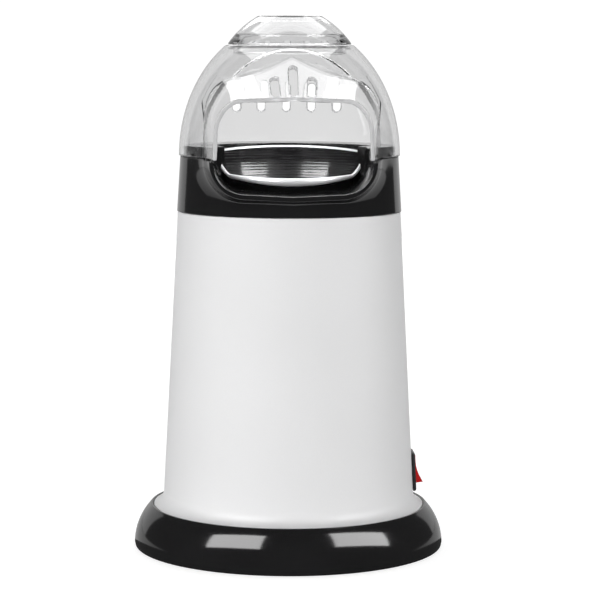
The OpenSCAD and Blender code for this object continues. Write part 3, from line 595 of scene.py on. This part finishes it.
def collar_field(x, y, z):
    """A turned ring with a neck and a deck, joined to the trough that leads forward to the lip."""
    r = np.hypot(x, y)
    rim, deck_top = 0.45, 212.5
    neck_in, under_neck, foot_in = 53.8, 55.4, 58.2
    ring = [(58.65, SEAM_Z + rim), (56.97, SHOULDER_Z - rim), (NECK_R - rim, SHOULDER_Z - rim),
            (NECK_R - rim, NECK_Z - rim), (neck_in, NECK_Z - rim), (DECK_HOLE_R + rim, deck_top),
            (DECK_HOLE_R + rim, DECK_Z + rim), (under_neck, DECK_Z + rim),
            (foot_in, 183.7), (foot_in, SEAM_Z + rim)]
    outside = trough(x, y, z, (-64.3, -26), (42.2, 47.6), (17.4, 20), (187.3, 179.5), (0.048, 0.127))
    inside = trough(x, y, z, (-64.5, -24), (40, 38.5), (15, 13), (189.7, 192.3), (0.052, 0.008))
    outside = round_max(outside, LIP_Y + 0.05 - y, 0.9)
    outside = np.maximum(np.maximum(outside, y + 20), DECK_HOLE_R - r)
    top = np.where(r < NECK_R, NECK_Z, SHOULDER_Z)
    chute = round_max(outside, z - top, 0.5)
    solid = round_min(polygon(ring, r, z) - rim, chute, 5.0)
    solid = round_max(solid, z - NECK_Z, rim)

    # The hood's spout stands on the shoulder at both sides of the trough, so nothing rises there.
    cheek_y, cheek_length = -28.5, 37.5
    cheek = between((44.4, 37), (cheek_y - y) / cheek_length) - np.abs(x)
    cheek = np.maximum(np.maximum(cheek, y - cheek_y), SHOULDER_Z - z)
    solid = round_max(solid, -cheek, 0.4)
    solid = round_max(solid, -np.maximum(inside, y + 24), 0.8)
    return round_max(solid, SEAM_Z - z, 0.4)


def build_collar():
    collar = net(collar_field, (-60.4, -66.2, 177.4), (60.4, 60.4, 215), COLLAR_CELL)
    make("black_collar", collar, "black_gloss", "housing", "upper_collar")


# ---------------------------------------------------------------- clear hood and measuring cap

def dome(x, y, z, inset):
    a, b = HOOD_R - inset, DOME_RISE - inset
    r, h = np.hypot(x, y), z - HOOD_Z
    k0 = np.hypot(r / a, h / b)
    k1 = np.hypot(r / a ** 2, h / b ** 2)
    return k0 * (k0 - 1) / np.maximum(k1, 1e-6)


def spout(x, y, z, inset):
    """The hood's spout: upright sides, rounded shoulders and a low gable that falls to the lip."""
    u = (y + 64.3) / 37.3
    half = between((40.2, 47.2), u) - inset
    corner = between((13, 9), u) - inset / 2
    ridge = between((239.2, 266.5), u) - inset
    eaves = between((238.6, 249.5), u) - inset
    slope = np.maximum(ridge - eaves, 0) / (half - corner - 1)
    lean = np.sqrt(1 + slope ** 2)
    gable = ridge + 8 * (lean - 1) - slope * np.sqrt(x * x + (4 * slope) ** 2)
    draft = 0.2 - 1.2 * np.clip((z - HOOD_Z) / 30, 0, 1)
    return round_max(np.abs(x) - (half + draft), (z - gable) / (lean * 1.2), np.maximum(corner, 3))


def slot(along, across, half_length, radius):
    return np.hypot(across, np.maximum(np.abs(along) - (half_length - radius), 0)) - radius


def slots(x, y, z):
    """Three slots in the spout's roof and five upright ones at the back of the dome."""
    front, roof_pitch, splay, roof_low = -62.3, 9.25, 0.5 / 7.5, 234
    middle_z, pitch, rear_y = 237.5, 13.7, 20
    cuts = []
    for k, back in ((-1, -47.4), (0, -42.6), (1, -47.4)):
        along = y - (front + back) / 2
        across = x - k * (roof_pitch + splay * along)
        cuts.append(np.maximum(slot(along, across, (back - front) / 2, 2.1), roof_low - z))
    for k in range(-2, 3):
        cuts.append(np.maximum(slot(z - middle_z, x - pitch * k, 7.5, 2.0), rear_y - y))
    return np.minimum.reduce(cuts)


def hood_field(x, y, z):
    """Dome and spout in one shell of even wall, open below, at the lip and at the filling hole."""
    crease, edge = 0.7, 0.5
    outer_dome = round_max(dome(x, y, z, 0), FRONT_Y - y, crease)
    outer_spout = np.maximum(spout(x, y, z, 0), y - FRONT_Y - 1)
    outer_spout = round_max(outer_spout, LIP_Y - y, crease)
    outer = round_min(outer_dome, outer_spout, crease)
    inner_dome = dome(x, y, z, HOOD_WALL)
    trim = np.minimum(y - FRONT_Y - 1, np.maximum(inner_dome, y - FRONT_Y - 11))
    inner_spout = np.maximum(spout(x, y, z, HOOD_WALL), trim)
    inner = round_min(np.maximum(inner_dome, FRONT_Y + HOOD_WALL - y), inner_spout, 0.6)
    shell = round_max(outer, -inner, edge)
    shell = round_max(shell, z - CAP_SEAT_Z, edge)
    shell = round_max(shell, FILL_R - np.hypot(x, y), 0.4)
    shell = round_max(shell, -slots(x, y, z), 0.3)
    return round_max(shell, HOOD_Z - z, edge)


def build_hood():
    """The clear hood, with a paler and rougher material on its lip and on the walls of its slots, which
    paints in the light along those edges.
    """
    lip_depth, slot_depth = 0.75, 0.45
    verts, faces, shade = net(hood_field, (-59.4, -66, 206.6), (59.4, 59.4, 267), HOOD_CELL)
    hood = make("clear_hood", (verts, faces, shade), "clear_plastic", "hood", "hood")
    hood.visible_shadow = False
    hood.data.materials.append(MATS["clear_edge_painted_light"])
    middle = verts[faces].mean(1)
    # Faces that get the painted edge light: the lip and the walls of the slots.
    edge = (middle[:, 1] < LIP_Y + lip_depth) | (slots(*middle.T) < slot_depth)
    hood.data.polygons.foreach_set("material_index", edge.astype(np.int32))


def build_cap():
    """The measuring cap: a domed lid with a flat top and a short cup wall that drops into the hood."""
    cap_r, low, top_r, top = 32.7, 266.0, 16.7, 280.7
    cup_in, cup_out, cup_low = 27.6, 29.7, 261
    bulge, wall = 48.0, 2
    chord = np.array([top_r - cap_r, top - low])
    middle = np.array([(cap_r + top_r) / 2, (low + top) / 2])
    length = float(np.hypot(*chord))
    centre = middle - math.sqrt(bulge ** 2 - length ** 2 / 4) * np.array([chord[1], -chord[0]]) / length
    first = math.atan2(low - centre[1], cap_r - centre[0])
    last = math.atan2(top - centre[1], top_r - centre[0])
    outer = arc(centre, bulge, first, last, 18)
    inner = arc(centre, bulge - wall, last - 0.026, first + 0.14, 14)
    above = [(cup_in, cup_low, 0.3), (cup_out, cup_low, 0.4), (cup_out, low, 0.3), (cap_r - 0.15, low, 0.3)]
    above += outer[1:-1] + [(top_r, top, 1.0), (0, top, 0)]
    below = [(0, top - wall, 0), (inner[0][0] - 0.2, top - wall, 0.8)] + inner[1:]
    below += [(cup_in, low + 0.6, 0.8), (cup_in, cup_low, 0)]
    points, normals = outline(above, 5, closed=False)
    more_points, more_normals = outline(below, 5, closed=False)
    points = np.concatenate([points, more_points[:-1]])
    normals = np.concatenate([normals, more_normals[:-1]])
    normals[0] = normals[-1] = (-1, 0)
    cap = make("clear_cap", lathe((points, normals), 160), "clear_plastic", "measuring_cap", "measuring_cap")
    cap.visible_shadow = False


# ---------------------------------------------------------------- popping chamber

def chamber_r(z):
    """Inner radius of the cup: flared over its last 18 mm and turned with fine grooves near the top."""
    flare, flare_top, flare_length = 3.2, 205, 18
    depth, pitch, groove_low = 0.03, 1.5, 184
    groove = depth * np.sin(2 * math.pi * z / pitch) * np.clip((z - groove_low) / 4, 0, 1)
    return CHAMBER_R - flare * ease(np.clip((flare_top - z) / flare_length, 0, 1)) + groove


def build_chamber():
    """The dark coated cup with a bare rolled rim, cut down at the front to pour over."""
    columns, floor, upper = 288, 104.0, 185
    angles = 2 * math.pi * np.arange(columns) / columns
    x, y, ring = CHAMBER_R * np.cos(angles), CHAMBER_R * np.sin(angles), np.ones(columns)

    # At the front the rim drops within 31 mm of the middle, where its bead is also thicker.
    half_lip, lip_z, lip_dip = 31, 198.3, 2.4
    rise = np.where(y < 0, ease(np.clip((np.abs(x) - half_lip) / 8.5, 0, 1)), 1)
    lip = np.clip(1 - (x / half_lip) ** 2, 0, 1) * (1 - rise)
    rim = 208.2 + 2.6 * np.clip((y + 5) / 45, 0, 1) ** 1.5
    top = (lip_z - lip_dip * lip) * (1 - rise) + rim * rise
    bead = 0.95 + 1.15 * lip

    crown = ((10, 108.8), (18, 106.8), (26, 104.8), (35.4, 104.8), (36.5, 105.2))
    rows = [(r * ring, z * ring) for r, z in crown]
    rows += [(chamber_r(z) * ring, z * ring) for z in np.linspace(106, upper, 12)]
    for h in np.linspace(0.005, 0.998, 90):
        z = upper + (top - upper) * h
        rows.append((chamber_r(z), z))
    inside = len(rows)
    for t in np.radians(np.linspace(180, -112, 20)):
        rows.append((chamber_r(top) + bead + bead * math.cos(t), top + bead * math.sin(t)))
    outside = len(rows)
    for h in (0.985, 0.96, 0.93, 0.9, 0.85, 0.8, 0.7, 0.5, 0.2, 0.0):
        z = floor + (top - floor) * h
        rows.append((chamber_r(z) + SHEET, z))
    rows += [(26 * ring, floor * ring), (10 * ring, (floor + 4) * ring)]

    verts = [(0, 0, floor + 5 + SHEET)]
    verts += [(r * math.cos(a), r * math.sin(a), z) for rr, zz in rows for r, z, a in zip(rr, zz, angles)]
    verts += [(0, 0, floor + 5)]
    last = len(verts) - 1
    pairs = [(j, (j + 1) % columns) for j in range(columns)]
    faces, bare = [], []
    for i in range(len(rows) - 1):
        lower, above = 1 + i * columns, 1 + (i + 1) * columns
        faces += [(lower + j, above + j, above + k, lower + k) for j, k in pairs]
        bare += [inside - 1 <= i < outside] * columns
    for j, k in pairs:
        faces += [(0, 1 + j, 1 + k), (last, last - columns + k, last - columns + j)]
        bare += [False, False]
    cup = make("popping_cup", (verts, faces, None), "coated_aluminium", "housing", "popping_chamber")
    cup.data.materials.append(MATS["bare_rim"])
    cup.data.polygons.foreach_set("material_index", np.array(bare, np.int32))


# ---------------------------------------------------------------- switch

def rounded_rectangle(width, height, radius, steps=5):
    """Points of a rounded rectangle in the (y, z) plane, anticlockwise seen from +X."""
    pts = []
    for cy, cz, start in ((1, 1, 0), (-1, 1, 90), (-1, -1, 180), (1, -1, 270)):
        for k in range(steps + 1):
            a = math.radians(start + 90 * k / steps)
            pts.append((cy * (width / 2 - radius) + radius * math.cos(a),
                        cz * (height / 2 - radius) + radius * math.sin(a)))
    return pts


def at_switch(points):
    """From the switch's own frame, x out of the wall, to the part's frame."""
    lean = math.atan((BODY_FOOT_R - BODY_TOP_R) / (SEAM_Z - BODY_FOOT_Z))
    return tilted(points, -lean) + (body_r(SWITCH_Z), 0, SWITCH_Z)


def build_switch():
    """A bezel with a rounded face around a deep well, with the switch's body behind the wall."""
    proud, back, well = 1.62, -14, -8.9
    steps = [(back, 12.4, 18.4, 0.6), (-0.2, 12.4, 18.4, 0.6), (0.05, 14.4, 20.4, 1.0),
             (0.05, 14.9, 20.9, 1.2), (0.4, 15, 21, 1.3), (0.8, 15, 20.9, 1.3), (1.2, 14.7, 20.5, 1.3),
             (1.5, 14.2, 19.9, 1.2), (proud, 13.4, 19.3, 1.0), (proud, 11.4, 19.1, 0.8),
             (1.5, 10.9, 18.9, 0.6), (1.2, 10.5, 18.7, 0.5), (0.5, 10.4, 18.6, 0.5), (well, 10.4, 18.6, 0.5)]
    verts, faces = loft([[(x, y, z) for y, z in rounded_rectangle(width, height, radius)]
                         for x, width, height, radius in steps])
    bezel = make("switch_bezel", (at_switch(verts), faces, None), "black_matte", "housing", "switch_housing")
    bezel.data.set_sharp_from_angle(angle=math.radians(40))


def build_rocker():
    """The red rocker: two shallow hollow faces over the pivot, with rounded edges."""
    pivot_in, tilt, pin_r, pin_half = 1.8, math.radians(-13), 1.2, 5.9
    half_height, face_out, hollow = 7.5, 5.7, 1.2
    upper = [(face_out - hollow * math.sin(math.pi * t / 2), half_height * (1 - t))
             for t in np.linspace(0, 1, 9)]
    face = upper + [(x, -z) for x, z in reversed(upper[:-1])]
    back = [(-1, -6.6), (-4, -2.4), (-4, 2.4), (-1, 6.6)]
    ring = face + back
    middle = np.mean(ring, axis=0)
    inward = [unit(middle - np.array(point)) for point in ring]
    widths = [(-4.9, 0.5), (-4.75, 0.2), (-4.4, 0.0), (4.4, 0.0), (4.75, 0.2), (4.9, 0.5)]
    verts, faces = loft([[(x + pull * u, y, z + pull * v) for (x, z), (u, v) in zip(ring, inward)]
                         for y, pull in widths])
    pin_verts, pin_faces, _ = rod(pin_r, -pin_half, pin_half, 0.2, 24)
    faces += [[i + len(verts) for i in loop] for loop in pin_faces]
    verts += [(x, z, y) for x, y, z in pin_verts]
    verts = at_switch(tilted(verts, tilt) - (pivot_in, 0, 0))
    rocker = make("red_rocker", (verts, faces, None), "red_rocker", "rocker", "switch_rocker")
    bm = bmesh.new()
    bm.from_mesh(rocker.data)
    bmesh.ops.recalc_face_normals(bm, faces=bm.faces)
    bm.to_mesh(rocker.data)
    bm.free()
    rocker.data.shade_smooth()
    rocker.data.set_sharp_from_angle(angle=math.radians(38))


# ---------------------------------------------------------------- build

HOOD_CELL, COLLAR_CELL = ((0.7, 0.55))
set_camera()
set_stage()
MATS = make_materials()
build_body()
build_base()
build_feet()
build_collar()
build_hood()
build_cap()
build_chamber()
build_switch()
build_rocker()
for part in frame["record"]["subparts"]:
    node = frame["nodes"][part["node"]]
    node.data.materials.clear()
    node.data.materials.append(MATS[part["material_slot"]])
